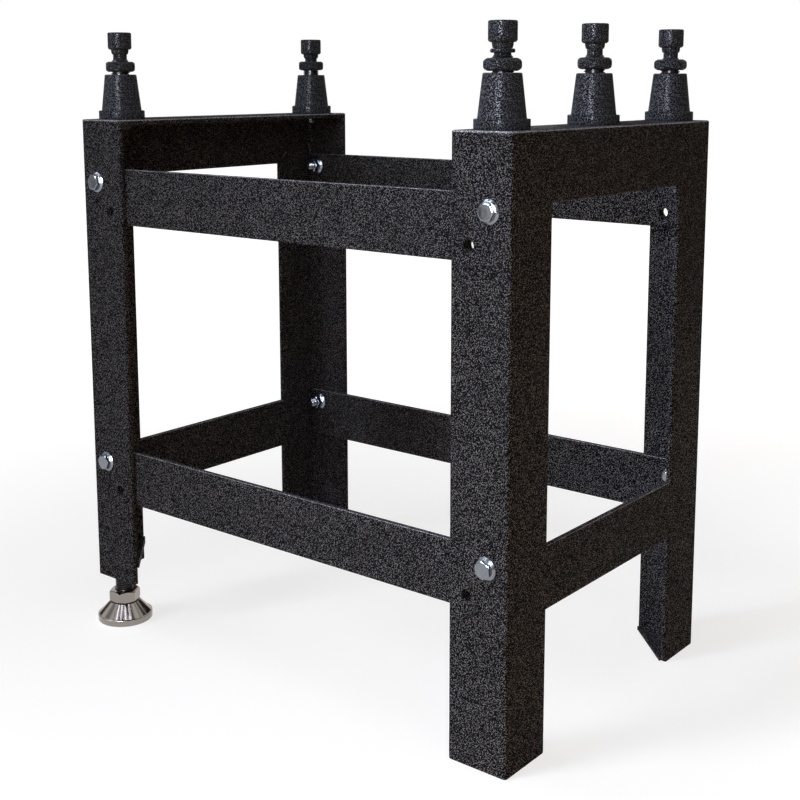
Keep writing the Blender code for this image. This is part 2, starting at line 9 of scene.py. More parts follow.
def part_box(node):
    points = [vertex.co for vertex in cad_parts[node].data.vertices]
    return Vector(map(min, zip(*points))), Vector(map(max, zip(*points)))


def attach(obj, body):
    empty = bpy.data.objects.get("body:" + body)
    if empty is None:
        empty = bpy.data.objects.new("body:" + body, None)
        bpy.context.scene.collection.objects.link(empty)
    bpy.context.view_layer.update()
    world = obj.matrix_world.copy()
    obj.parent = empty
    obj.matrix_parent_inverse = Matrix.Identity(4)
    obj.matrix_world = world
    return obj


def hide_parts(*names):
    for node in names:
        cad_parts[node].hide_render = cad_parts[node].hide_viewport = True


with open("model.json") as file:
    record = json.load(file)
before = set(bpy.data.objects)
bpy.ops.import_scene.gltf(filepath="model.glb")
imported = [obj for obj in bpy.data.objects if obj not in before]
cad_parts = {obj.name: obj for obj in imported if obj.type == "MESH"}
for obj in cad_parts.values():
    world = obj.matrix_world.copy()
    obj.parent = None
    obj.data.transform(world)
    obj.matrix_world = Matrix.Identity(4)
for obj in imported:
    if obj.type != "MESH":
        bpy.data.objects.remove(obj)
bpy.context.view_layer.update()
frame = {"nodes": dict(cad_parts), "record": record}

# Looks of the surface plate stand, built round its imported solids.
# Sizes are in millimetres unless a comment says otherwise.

MM = 0.001
SIDES = ("left", "right")
FACES = ("front", "rear")
ROWS = ("top", "lower")
SUPPORTS = ("left_front", "left_rear", "right_front", "right_middle", "right_rear")

# Camera, fitted to the frame's corners; the image is 800 pixels square
IMAGE_SIZE = 800
CAMERA_PLACE = (876.1, -1059.6, 610.2)
CAMERA_AZIMUTH = 38.84         # degrees, turned from looking along +Y
CAMERA_ELEVATION = 8.83        # degrees of looking down
CAMERA_ROLL = -0.08            # degrees
FOCAL_PIXELS = 1293.0
PRINCIPAL_ROW = 280            # the photograph's frame was cut lower than its lens axis
SENSOR_WIDTH = 36
VIEW_REACH = 50                # metres

# Steel sections of the frame
FRAME_HEIGHT = 568
ANGLE_LEG = 63
ANGLE_WALL = 6
ANGLE_HEEL_RADIUS = 3
ANGLE_TOE_RADIUS = 2.5
ANGLE_ROOT_RADIUS = 5
TOP_EDGE_RADIUS = 2.5
WELD_GAP = 0.3
BAR_HEIGHT = 60
END_BAR_CENTRE = 168

# Facets of the turned pieces; a multiple of six, so that each hexagon corner gets a point
FINE_SIDES = 72
BOLT_SIDES = 48
SCREW_THREAD_SIDES = 30
BOLT_THREAD_SIDES = 24


# Materials

BLISTER = 0.97                 # width of a blister of the powder coat
BLISTER_CLOUD = 14             # width of the patches in which blisters are a little darker or lighter
BLISTER_TURN = (0.6, 0.4, 0.9)    # radians; turns the pattern's cells out of line with the flat faces
# bars whose rounded upper edges get a paler colour: a painted highlight of light from above, and wear
HIGHLIT_RUBBED_BARS = ("right_top_beam", "front_top_rail", "front_lower_rail", "right_end_bar")
HIGHLIGHT_RUB_DEPTH = 4                  # how far under the height of a bar's top the painted highlight and wear reach
SIDE_TO_EDGE = (0.3, 0.55)     # upward part of the normal where a side turns into an edge with painted highlight and wear
EDGE_TO_TOP = (0.9, 0.98)      # and where the edge turns into the flat top
ZINC_PATCH = 3.5
ZINC_FROST = 0.5
ZINC_EDGE = 0.35               # radius of the fasteners' edges under their plating
TURNING_MARK = 0.6
CHROME_EDGE = 0.5
PLATING_RELIEF = 0.03          # depth of the frost and of the turning marks
OIL_PATCH = 2.0


def linear(code):
    """A colour written as sRGB hex, in the linear values that shaders take."""
    parts = [int(code[i:i + 2], 16) / 255 for i in (1, 3, 5)]
    return [p / 12.92 if p <= 0.04045 else ((p + 0.055) / 1.055) ** 2.4 for p in parts] + [1.0]


def add_node(tree, kind, inputs=None, **settings):
    """Adds a node with its settings, and sets or links its inputs."""
    node = tree.nodes.new(kind)
    for name, value in settings.items():
        setattr(node, name, value)
    for name, value in (inputs or {}).items():
        if isinstance(value, bpy.types.NodeSocket):
            tree.links.new(value, node.inputs[name])
        else:
            node.inputs[name].default_value = value
    return node


def new_material(name):
    """An empty material with its tree and the coordinates that its patterns are laid in."""
    material = bpy.data.materials.new(name)
    material.use_nodes = True
    tree = material.node_tree
    tree.nodes.clear()
    return material, tree, add_node(tree, "ShaderNodeTexCoord").outputs["Object"]


def per_size(size):
    """The scale of a pattern whose features are this many millimetres wide."""
    return 1 / (size * MM)


def hammertone_powder_coat(name, low, high, valley, dim, bright, relief, gloss_level, highlit_rubbed_bars=()):
    """Black powder coat that drew up into a hammered skin as it was baked on steel.
    The eye gets grey, glinting blisters packed between black valleys. A paler colour is painted along
    the rounded upper edges of the listed bars: a painted highlight where light from above catches them, and
    wear where hands and tools rub the blisters.
    The real blisters are finer; they are drawn about 1 mm wide, as fine as the render can show.
    Low and high are the levels of the noise between which a valley rises to a blister."""
    material, tree, place = new_material(name)
    askew = add_node(
        tree, "ShaderNodeVectorRotate", {"Vector": place, "Rotation": BLISTER_TURN},
        rotation_type="EULER_XYZ")
    winding = add_node(
        tree, "ShaderNodeTexNoise",
        {"Vector": askew.outputs[0], "Scale": per_size(BLISTER), "Detail": 0.0})
    skin_height = add_node(
        tree, "ShaderNodeMapRange", {"Value": winding.outputs["Fac"], "From Min": low, "From Max": high},
        interpolation_type="SMOOTHSTEP")
    clouds = add_node(
        tree, "ShaderNodeTexNoise", {"Vector": place, "Scale": per_size(BLISTER_CLOUD), "Detail": 2.0})
    raised = add_node(
        tree, "ShaderNodeMix", {"Factor": clouds.outputs["Fac"], 6: linear(dim), 7: linear(bright)},
        data_type="RGBA")
    coat = add_node(
        tree, "ShaderNodeMix", {"Factor": skin_height.outputs[0], 6: linear(valley), 7: raised.outputs[2]},
        data_type="RGBA")
    # pale edge colour: painted highlight of light from above on the upper edges, mixed with wear
    worn_and_highlit = add_node(
        tree, "ShaderNodeMix",
        {"Factor": skin_height.outputs[0], 6: linear("#77777b"), 7: linear("#ececf2")},
        data_type="RGBA")
    surface = add_node(tree, "ShaderNodeNewGeometry")
    facing = add_node(tree, "ShaderNodeSeparateXYZ", {"Vector": surface.outputs["Normal"]})
    # mask of upward-facing rounded edges, which the painted highlight and wear cover
    above_side = add_node(
        tree, "ShaderNodeMapRange",
        {"Value": facing.outputs["Z"], "From Min": SIDE_TO_EDGE[0], "From Max": SIDE_TO_EDGE[1]})
    short_of_top = add_node(
        tree, "ShaderNodeMapRange",
        {"Value": facing.outputs["Z"], "From Min": EDGE_TO_TOP[1], "From Max": EDGE_TO_TOP[0]})
    highlit_upper_edge = add_node(
        tree, "ShaderNodeMath", {0: above_side.outputs[0], 1: short_of_top.outputs[0]},
        operation="MULTIPLY")
    spot = add_node(tree, "ShaderNodeSeparateXYZ", {"Vector": place})
    colour = coat.outputs[2]
    # near the top of each listed bar, its upper edges get the painted highlight and wear
    for bar in highlit_rubbed_bars:
        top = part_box(bar)[1].z
        near_top = add_node(
            tree, "ShaderNodeMath", {0: spot.outputs["Z"], 1: top, 2: HIGHLIGHT_RUB_DEPTH * MM},
            operation="COMPARE")
        rubbed_and_highlit = add_node(
            tree, "ShaderNodeMath", {0: highlit_upper_edge.outputs[0], 1: near_top.outputs[0]},
            operation="MULTIPLY")
        colour = add_node(
            tree, "ShaderNodeMix", {"Factor": rubbed_and_highlit.outputs[0], 6: colour, 7: worn_and_highlit.outputs[2]},
            data_type="RGBA").outputs[2]
    roughness = add_node(
        tree, "ShaderNodeMapRange", {"Value": skin_height.outputs[0], "To Min": 1.0, "To Max": 0.24})
    bump = add_node(
        tree, "ShaderNodeBump",
        {"Strength": 1.0, "Distance": relief * MM, "Height": skin_height.outputs[0]})
    shader = add_node(tree, "ShaderNodeBsdfPrincipled", {
        "Base Color": colour, "Roughness": roughness.outputs[0], "Specular IOR Level": gloss_level,
        "Normal": bump.outputs[0]})
    add_node(tree, "ShaderNodeOutputMaterial", {"Surface": shader.outputs[0]})
    return material


def zinc_plate(name):
    """Forged steel plated bright with zinc, as on machine-made fasteners.
    The eye gets a bluish satin metal with a fine frost and slightly duller patches.
    The real frost is finer; it is drawn half a millimetre wide, so that a close view shows it."""
    material, tree, place = new_material(name)
    patches = add_node(
        tree, "ShaderNodeTexNoise", {"Vector": place, "Scale": per_size(ZINC_PATCH), "Detail": 3.0})
    frost = add_node(
        tree, "ShaderNodeTexNoise", {"Vector": place, "Scale": per_size(ZINC_FROST), "Detail": 2.0})
    rounded = add_node(tree, "ShaderNodeBevel", {"Radius": ZINC_EDGE * MM}, samples=4)
    shade = add_node(
        tree, "ShaderNodeMix",
        {"Factor": patches.outputs["Fac"], 6: linear("#707479"), 7: linear("#8a8e93")},
        data_type="RGBA")
    roughness = add_node(
        tree, "ShaderNodeMapRange",
        {"Value": patches.outputs["Fac"], "From Min": 0.3, "From Max": 0.7, "To Min": 0.14, "To Max": 0.26})
    bump = add_node(
        tree, "ShaderNodeBump",
        {"Strength": 0.5, "Distance": PLATING_RELIEF * MM, "Height": frost.outputs["Fac"],
         "Normal": rounded.outputs[0]})
    shader = add_node(tree, "ShaderNodeBsdfPrincipled", {
        "Base Color": shade.outputs[2], "Metallic": 1.0, "Roughness": roughness.outputs[0],
        "Normal": bump.outputs[0]})
    add_node(tree, "ShaderNodeOutputMaterial", {"Surface": shader.outputs[0]})
    return material


def chrome_plate(name):
    """Steel turned on a lathe and plated with bright chrome.
    The turning marks run round the axis, so the eye gets reflections drawn out into streaks across them.
    The real marks are finer; they are drawn wide enough for a close view to show them."""
    material, tree, place = new_material(name)
    parts = add_node(tree, "ShaderNodeSeparateXYZ", {"Vector": place})
    across = add_node(tree, "ShaderNodeVectorMath", {0: place, 1: (1.0, 1.0, 0.0)}, operation="MULTIPLY")
    reach = add_node(tree, "ShaderNodeVectorMath", {0: across.outputs[0]}, operation="LENGTH")
    along = add_node(
        tree, "ShaderNodeMath", {0: reach.outputs["Value"], 1: parts.outputs["Z"]}, operation="SUBTRACT")
    marks = add_node(
        tree, "ShaderNodeTexNoise", {"W": along.outputs[0], "Scale": per_size(TURNING_MARK), "Detail": 2.0},
        noise_dimensions="1D")
    rounded = add_node(tree, "ShaderNodeBevel", {"Radius": CHROME_EDGE * MM}, samples=4)
    bump = add_node(
        tree, "ShaderNodeBump",
        {"Strength": 0.25, "Distance": PLATING_RELIEF * MM, "Height": marks.outputs["Fac"],
         "Normal": rounded.outputs[0]})
    roughness = add_node(
        tree, "ShaderNodeMapRange", {"Value": marks.outputs["Fac"], "To Min": 0.08, "To Max": 0.2})
    round_axis = add_node(tree, "ShaderNodeTangent", direction_type="RADIAL", axis="Z")
    shader = add_node(tree, "ShaderNodeBsdfPrincipled", {
        "Base Color": linear("#948d87"), "Metallic": 1.0, "Roughness": roughness.outputs[0],
        "Anisotropic": 0.6, "Tangent": round_axis.outputs[0], "Normal": bump.outputs[0]})
    add_node(tree, "ShaderNodeOutputMaterial", {"Surface": shader.outputs[0]})
    return material


def black_oxide(name):
    """Cut steel thread blackened in an oxide bath and oiled.
    The eye gets a dark metal with a low, slightly brown sheen on its crests."""
    material, tree, place = new_material(name)
    oil = add_node(
        tree, "ShaderNodeTexNoise", {"Vector": place, "Scale": per_size(OIL_PATCH), "Detail": 2.0})
    shade = add_node(
        tree, "ShaderNodeMix", {"Factor": oil.outputs["Fac"], 6: linear("#242322"), 7: linear("#4a4846")},
        data_type="RGBA")
    roughness = add_node(
        tree, "ShaderNodeMapRange", {"Value": oil.outputs["Fac"], "To Min": 0.34, "To Max": 0.2})
    shader = add_node(tree, "ShaderNodeBsdfPrincipled", {
        "Base Color": shade.outputs[2], "Metallic": 0.8, "Roughness": roughness.outputs[0]})
    add_node(tree, "ShaderNodeOutputMaterial", {"Surface": shader.outputs[0]})
    return material


FINISHES = {
    "frame_paint": hammertone_powder_coat(
        "hammertone_powder_coat_on_rolled_steel", low=0.59, high=0.65, valley="#101011", dim="#707075",
        bright="#8c8c91", relief=0.3, gloss_level=0.035, highlit_rubbed_bars=HIGHLIT_RUBBED_BARS),
    "support_paint": hammertone_powder_coat(
        "hammertone_powder_coat_on_turned_steel", low=0.555, high=0.6, valley="#020202", dim="#43464d",
        bright="#60646e", relief=0.1, gloss_level=0.14),
    "zinc_plate": zinc_plate("zinc_plate_on_forged_steel"),
    "chrome_plate": chrome_plate("chrome_plate_on_turned_steel"),
    "screw_steel": black_oxide("black_oxide_on_cut_thread")}


def paint_solids():
    """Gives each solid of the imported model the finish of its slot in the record."""
    for part in frame["record"]["subparts"]:
        item = frame["nodes"][part["node"]]
        for slot in item.material_slots:
            slot.material = FINISHES[part["material_slot"]]


# Building pieces

CREASE = 32                    # degrees past which an edge stays sharp
SAME_POINT = 1e-4              # points closer than this are joined
ROUNDING_SHARE = 0.49          # most of a side that the rounding at one of its ends takes


def add_piece(name, shape, slot, body, place=(0, 0, 0), turn=(0, 0, 0), stands_for=None, crease=CREASE):
    """Makes a piece from a bmesh in millimetres, in its slot's finish, and lets it ride on a body."""
    bmesh.ops.recalc_face_normals(shape, faces=shape.faces)
    bmesh.ops.scale(shape, vec=(MM, MM, MM), verts=shape.verts)
    mesh = bpy.data.meshes.new(name)
    shape.to_mesh(mesh)
    shape.free()
    mesh.shade_smooth()
    mesh.set_sharp_from_angle(angle=math.radians(crease))
    mesh.materials.append(FINISHES[slot])
    item = bpy.data.objects.new(name, mesh)
    item.location = Vector(place) * MM
    item.rotation_euler = turn
    bpy.context.scene.collection.objects.link(item)
    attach(item, body)
    if stands_for:
        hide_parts(stands_for)


def box_of(node):
    """Lowest and highest corner of a solid at rest, in millimetres."""
    low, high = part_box(node)
    return low / MM, high / MM


def skin(shape, loops, closed):
    """Joins loops of equal length, and caps the ends unless the last joins the first."""
    rows = [[shape.verts.new(point) for point in loop] for loop in loops]
    pairs = list(zip(rows, rows[1:]))
    if closed:
        pairs.append((rows[-1], rows[0]))
    else:
        shape.faces.new(rows[0])
        shape.faces.new(rows[-1])
    for low, high in pairs:
        for index in range(len(low)):
            shape.faces.new((low[index - 1], low[index], high[index], high[index - 1]))


def softened(corners, closed, steps=4):
    """An outline of (across, along, rounding) corners, with an arc in place of each rounded corner."""
    points = []
    for index, (across, along, rounding) in enumerate(corners):
        corner = Vector((across, along))
        ends = not closed and index in (0, len(corners) - 1)
        if ends or not rounding:
            points.append(corner)
            continue
        before = Vector(corners[index - 1][:2]) - corner
        after = Vector(corners[(index + 1) % len(corners)][:2]) - corner
        half = before.angle(after) / 2
        room = ROUNDING_SHARE * min(before.length, after.length)
        reach = min(rounding / math.tan(half), room)
        radius = reach * math.tan(half)
        inward = (before.normalized() + after.normalized()).normalized()
        centre = corner + inward * radius / math.sin(half)
        start = corner + before.normalized() * reach - centre
        end = corner + after.normalized() * reach - centre
        sweep = math.pi - 2 * half
        for step in range(steps + 1):
            share = sweep * step / steps
            spoke = (start * math.sin(sweep - share) + end * math.sin(share)) / math.sin(sweep)
            points.append(centre + spoke)
    return points


def bearings(sides):
    """Angles of the points round a turned piece."""
    return [math.tau * side / sides for side in range(sides)]


def ring_loop(radius, height, sides=FINE_SIDES):
    return [(radius * math.cos(a), radius * math.sin(a), height) for a in bearings(sides)]


def lathe(corners, closed=False):
    """A turned piece: an outline of (radius, height, rounding) corners spun round Z."""
    shape = bmesh.new()
    skin(shape, [ring_loop(point.x, point.y) for point in softened(corners, closed)], closed)
    return shape


def hexagon_radius(angle, flats):
    sector = math.radians(60)
    return flats / 2 / math.cos(angle % sector - sector / 2)


def hexagon_loop(flats, height, sides=FINE_SIDES, face=0, slope=0):
    """Outline of a hexagon. Where a cone cuts it down to a round face, the slope moves its corners along Z,
    which leaves the curved chamfer of a real nut."""
    loop = []
    for angle in bearings(sides):
        radius = hexagon_radius(angle, flats)
        moved = max(radius - face, 0) * slope
        loop.append((radius * math.cos(angle), radius * math.sin(angle), height + moved))
    return loop


# Threads; the profile is given in shares of the pitch

M10_PITCH = 1.5
M20_PITCH = 2.5
THREAD_DEPTH = 0.6134
THREAD_CHAMFER = 0.1           # how much deeper than the thread its ends are chamfered
CREST_END = 0.125
ROOT_START = 0.4375
ROOT_END = 0.6875
TURNS_PAST_END = 2             # turns past each end, which are pressed flat onto it


def thread(diameter, pitch, length, sides=SCREW_THREAD_SIDES):
    """A right-hand metric thread along +Z, chamfered at both ends."""
    crest = diameter / 2
    root = crest - THREAD_DEPTH * pitch
    end = root - THREAD_CHAMFER * pitch
    profile = ((0.0, crest), (CREST_END, crest), (ROOT_START, root), (ROOT_END, root))
    shape = bmesh.new()
    rows = []
    for turn in range(-TURNS_PAST_END, int(length / pitch) + TURNS_PAST_END + 1):
        for phase, radius in profile:
            row = []
            for side, angle in enumerate(bearings(sides)):
                height = min(max((turn + phase + side / sides) * pitch, 0), length)
                reach = min(radius, end + height, end + length - height)
                row.append(shape.verts.new((reach * math.cos(angle), reach * math.sin(angle), height)))
            rows.append(row)
    step = len(profile)
    for index in range(len(rows) - 1):
        low, high = rows[index], rows[index + 1]
        for side in range(sides - 1):
            shape.faces.new((low[side], low[side + 1], high[side + 1], high[side]))
        if index + step + 1 < len(rows):
            far, farther = rows[index + step], rows[index + step + 1]
            shape.faces.new((low[-1], far[0], farther[0], high[-1]))
    bmesh.ops.remove_doubles(shape, verts=shape.verts, dist=SAME_POINT)
    bmesh.ops.dissolve_degenerate(shape, edges=shape.edges, dist=SAME_POINT)
    bmesh.ops.holes_fill(shape, edges=shape.edges)
    return shape


# Screw supports; an outline's corners are radius, height and rounding

TAPPED_RADIUS = 10.3
BOSS_OUTLINE = [
    (TAPPED_RADIUS, 0, 0), (24.3, 0, 0.6), (24.3, 8.8, 0.9), (21.1, 8.8, 0.7), (16.7, 47.2, 1.5),
    (TAPPED_RADIUS, 47.2, 0.4)]
CAP_OUTLINE = [
    (0, 14.3, 0), (7.6, 14.3, 0), (7.6, 0, 0.2), (8.4, 0, 0.3), (9.2, 3, 1.5), (9.2, 5, 0.5),
    (10.9, 5, 0.6), (12.5, 6.6, 1.0), (12.5, 23, 1.3), (0, 23, 0)]
RING_OUTLINE = [(7.6, 0, 0.3), (10.6, 0, 1.2), (10.6, 3.4, 1.2), (7.6, 3.4, 0.3)]
NECK_OUTLINE = [(8.2, -7.2, 0), (8.2, -6.4, 0.2), (7.3, -5.3, 0.8), (7.3, 14, 1.2), (0, 14, 0)]
SCREW_DIAMETER = 20
THREAD_BELOW_CAP = 6.4
LOCK_NUT_FLATS = 30
LOCK_NUT_HEIGHT = 10.8
LOCK_NUT_CROWN = [             # depth under a face, and reach from the axis there
    (0, 12.6), (0.8, 14.3), (1.6, 15.5), (2.5, 16.2), (3.4, 16.5), (4.4, 16.6)]
LOCK_NUT_CREASE = 20           # degrees
LOCK_NUT_TURNS = {             # degrees each nut stands turned where it was tightened
    "left_front": 24, "left_rear": 14, "right_front": -13, "right_middle": 9, "right_rear": -20}


def lock_nut():
    """Hexagon nut whose corners are turned round towards both faces."""
    shape = bmesh.new()
    upper = [(LOCK_NUT_HEIGHT - depth, reach) for depth, reach in reversed(LOCK_NUT_CROWN)]
    loops = [ring_loop(TAPPED_RADIUS, 0)]
    for height, reach in LOCK_NUT_CROWN + upper:
        radii = [(min(hexagon_radius(a, LOCK_NUT_FLATS), reach), a) for a in bearings(FINE_SIDES)]
        loops.append([(r * math.cos(a), r * math.sin(a), height) for r, a in radii])
    loops.append(ring_loop(TAPPED_RADIUS, LOCK_NUT_HEIGHT))
    skin(shape, loops, closed=True)
    return shape


def make_support(name):
    """One boss with its screw, lock nut and cap, and the loose ring where the support has one."""
    low, high = box_of(f"{name}_boss")
    centre = (low + high) / 2

    def low_end(node):
        """Point on the support's axis at the lower end of one of its solids."""
        return centre.x, centre.y, box_of(f"{name}_{node}")[0].z

    add_piece(f"{name}_turned_boss", lathe(BOSS_OUTLINE, closed=True), "support_paint", "frame",
              low_end("boss"), stands_for=f"{name}_boss")
    add_piece(f"{name}_swivel_cap", lathe(CAP_OUTLINE), "support_paint", f"{name}_cap",
              low_end("cap"), stands_for=f"{name}_cap")
    add_piece(f"{name}_crowned_nut", lock_nut(), "support_paint", f"{name}_lock_nut",
              low_end("lock_nut"), (0, 0, math.radians(LOCK_NUT_TURNS[name])),
              f"{name}_lock_nut", LOCK_NUT_CREASE)
    add_piece(f"{name}_neck", lathe(NECK_OUTLINE), "support_paint", f"{name}_screw",
              low_end("cap"), stands_for=f"{name}_screw")
    thread_length = low_end("cap")[2] - THREAD_BELOW_CAP - low_end("screw")[2]
    add_piece(f"{name}_thread", thread(SCREW_DIAMETER, M20_PITCH, thread_length), "screw_steel",
              f"{name}_screw", low_end("screw"))
    if f"{name}_ring" in frame["nodes"]:
        add_piece(f"{name}_loose_ring", lathe(RING_OUTLINE, closed=True), "support_paint",
                  f"{name}_screw", low_end("ring"), stands_for=f"{name}_ring")


# Rail bolts and nuts

BOLT_DIAMETER = 10
BOLT_LENGTH = 30
BOLT_HEAD_HEIGHT = 6.4
BOLT_FLATS = 15
UNDERSIDE_RADIUS = 4.4         # inner loop of a head's flat underside
NUT_HEIGHT = 10
NUT_BORE_RADIUS = 5.3
NUT_BORE_CHAMFER = 0.6
FLANGE_RADIUS = 11
FLANGE_EDGE = 0.4
FLANGE_RIM = 1.2
FLANGE_TOP = 2.6
FLANGE_NECK_RADIUS = 9.0
HEAD_FACE = 7.0
HEAD_SLOPE = 0.6
HEAD_DISH = [(6.4, 0), (5.2, 0.15), (2, 0.15)]    # radius, and depth of the dish in a forged head there
BOLT_TURNS = {                 # degrees each head stands turned where it was tightened
    "front_top_left": 12, "front_top_right": 0, "front_lower_left": -6, "front_lower_right": 26,
    "rear_top_left": 18, "rear_top_right": 40, "rear_lower_left": 5, "rear_lower_right": 33}


def flanged_hexagon(inner_radius, height):
    """Loops of a coned flange and the hexagon on it, from the flange's underside to the coned top."""
    flange = [
        (inner_radius, 0), (FLANGE_RADIUS - FLANGE_EDGE, 0), (FLANGE_RADIUS, FLANGE_EDGE),
        (FLANGE_RADIUS, FLANGE_RIM - FLANGE_EDGE), (FLANGE_RADIUS - FLANGE_EDGE, FLANGE_RIM),
        (FLANGE_NECK_RADIUS, FLANGE_TOP)]
    loops = [ring_loop(r, z, BOLT_SIDES) for r, z in flange]
    loops.append(hexagon_loop(BOLT_FLATS, FLANGE_TOP, BOLT_SIDES))
    loops.append(hexagon_loop(BOLT_FLATS, height, BOLT_SIDES, HEAD_FACE, -HEAD_SLOPE))
    loops.append(ring_loop(HEAD_FACE, height, BOLT_SIDES))
    return loops


def bolt_head():
    """Hexagon head on a coned flange, with the shallow dish of a forged head."""
    shape = bmesh.new()
    loops = flanged_hexagon(UNDERSIDE_RADIUS, BOLT_HEAD_HEIGHT)
    loops += [ring_loop(r, BOLT_HEAD_HEIGHT - depth, BOLT_SIDES) for r, depth in HEAD_DISH]
    skin(shape, loops, closed=False)
    return shape


def flange_nut():
    """Hexagon nut on a coned flange, bored through."""
    shape = bmesh.new()
    loops = flanged_hexagon(NUT_BORE_RADIUS, NUT_HEIGHT)
    loops.append(ring_loop(NUT_BORE_RADIUS + NUT_BORE_CHAMFER, NUT_HEIGHT, BOLT_SIDES))
    loops.append(ring_loop(NUT_BORE_RADIUS, NUT_HEIGHT - NUT_BORE_CHAMFER, BOLT_SIDES))
    skin(shape, loops, closed=True)
    return shape


def make_fastening(face, row, side):
    """One bolt with its head outside the leg, and its nut inside the rail."""
    name = f"{face}_{row}_{side}"
    low, high = box_of(f"{name}_bolt")
    x, z = (low.x + high.x) / 2, (low.z + high.z) / 2
    outward = -1 if face == "front" else 1
    seat = low.y + BOLT_HEAD_HEIGHT if face == "front" else high.y - BOLT_HEAD_HEIGHT
    add_piece(f"{name}_bolt_head", bolt_head(), "zinc_plate", "frame", (x, seat, z),
              (-outward * math.pi / 2, math.radians(BOLT_TURNS[name]), 0), f"{name}_bolt")
    bolt_thread = thread(BOLT_DIAMETER, M10_PITCH, BOLT_LENGTH, BOLT_THREAD_SIDES)
    add_piece(f"{name}_bolt_thread", bolt_thread, "zinc_plate", "frame", (x, seat, z),
              (outward * math.pi / 2, 0, 0))
    low, high = box_of(f"{name}_nut")
    nut_seat = low.y if face == "front" else high.y
    add_piece(f"{name}_flange_nut", flange_nut(), "zinc_plate", "frame", (x, nut_seat, z),
              (outward * math.pi / 2, 0, 0), f"{name}_nut")


# Levelling foot

FOOT_OUTLINE = [
    (0, 0, 0), (30.5, 0, 1), (30.5, 7, 0.5), (29, 7.4, 0.4), (16.5, 21, 0.8), (8.3, 21, 0.3),
    (8.3, 11.7, 0), (0, 11.7, 0)]
COLLAR_LOW = 21.3
COLLAR_HIGH = 34.3
COLLAR_FLATS = 30
COLLAR_FACE = 14.4
COLLAR_SLOPE = 0.62
SPIGOT_RADIUS = 8
SPIGOT_LOW = 12.3
STUD_DIAMETER = 20
STUD_ROOT_RADIUS = 8.6
STUD_START = 33.3              # a little inside the collar
STUD_END = 105


def foot_collar():
    """Hexagon above the foot, chamfered at both ends, with the spigot under it."""
    shape = bmesh.new()
    loops = [
        ring_loop(SPIGOT_RADIUS, SPIGOT_LOW),
        ring_loop(SPIGOT_RADIUS, COLLAR_LOW),
        ring_loop(COLLAR_FACE, COLLAR_LOW),
        hexagon_loop(COLLAR_FLATS, COLLAR_LOW, FINE_SIDES, COLLAR_FACE, COLLAR_SLOPE),
        hexagon_loop(COLLAR_FLATS, COLLAR_HIGH, FINE_SIDES, COLLAR_FACE, -COLLAR_SLOPE),
        ring_loop(COLLAR_FACE, COLLAR_HIGH),
        ring_loop(STUD_ROOT_RADIUS, COLLAR_HIGH)]
    skin(shape, loops, closed=False)
    return shape


def make_foot():
    """The turned base on the floor, and the stud with its collar that turns in it."""
    low, high = box_of("foot_base")
    centre = (low + high) / 2
    place = (centre.x, centre.y, 0)
    add_piece("foot_turned_base", lathe(FOOT_OUTLINE), "chrome_plate", "foot_base", place,
              stands_for="foot_base")
    add_piece("foot_collar", foot_collar(), "chrome_plate", "foot_stud", place, stands_for="foot_stud")
    stud_thread = thread(STUD_DIAMETER, M20_PITCH, STUD_END - STUD_START)
    add_piece("foot_thread", stud_thread, "screw_steel", "foot_stud", (centre.x, centre.y, STUD_START))


# Welds; a bead's size is its width and its height

MITRE_BEAD = (3.0, 0.9)
CORNER_BEAD = (4.6, 1.7)
CORNER_BEAD_SPAN = (12, ANGLE_LEG - 1)
BAR_BEAD = (3.2, 0.8)
BAR_BEAD_FROM_TOE = 0.4
PLATE_BEAD = (4.2, 1.5)
PLATE_BEAD_SPAN = (13, ANGLE_LEG - 3)
WELD_SHORT_OF_EDGE = 0.5       # a weld stops this far from the ends of its seam
FILLER_LAP = (0.2, 0.3)        # how far a filler reaches over the leg and the bar beside its groove
FILLER_PROUD = 0.02
BEAD_STEP = 0.7
BEAD_FACETS = 8                # over the bead
BEAD_SINK = 0.3                # how far its underside lies in the metal
BEAD_END_TAPER = 0.02          # square of the share of its size that is left at its ends
RIPPLE_LENGTH = 2.4            # from one ripple of the bead to the next
RIPPLE_RISE = 0.16             # share of the height
RIPPLE_BULGE = 0.08            # share of a ripple's rise that also widens the bead
RIPPLE_LAG = 0.5               # how far a ripple's sides trail behind its crest
WANDER = 0.12                  # share of the width that a bead strays from its seam
WANDER_LENGTH = 7.3            # a full wave of it, over two pi


def bead(start, end, normal, size):
    """A weld bead from point to point, with its ripples and rounded ends."""
    start, end, normal = Vector(start), Vector(end), Vector(normal).normalized()
    width, height = size
    along = (end - start).normalized()
    across = along.cross(normal)
    length = (end - start).length
    steps = max(int(length / BEAD_STEP), 4)
    shape = bmesh.new()
    loops = []
    for step in range(steps + 1):
        travel = length * step / steps
        to_end = min(travel, length - travel)
        taper = min(1, math.sqrt(max(BEAD_END_TAPER, to_end / width)))
        ripple = 1 + RIPPLE_RISE * math.cos(math.tau * travel / RIPPLE_LENGTH)
        bulge = 1 - RIPPLE_BULGE + RIPPLE_BULGE * ripple
        stray = across * (WANDER * width * math.sin(travel / WANDER_LENGTH + length))
        loop = []
        for facet in range(BEAD_FACETS + 1):
            angle = math.pi * facet / BEAD_FACETS
            side = math.cos(angle) * width / 2 * taper * bulge
            rise = math.sin(angle) * height * taper * ripple
            lag = RIPPLE_LAG * (1 - math.sin(angle))
            loop.append(start + along * (travel - lag) + across * side + stray + normal * rise)
        loop.append(start + along * travel + stray - normal * BEAD_SINK)
        loops.append(loop)
    skin(shape, loops, closed=False)
    return shape


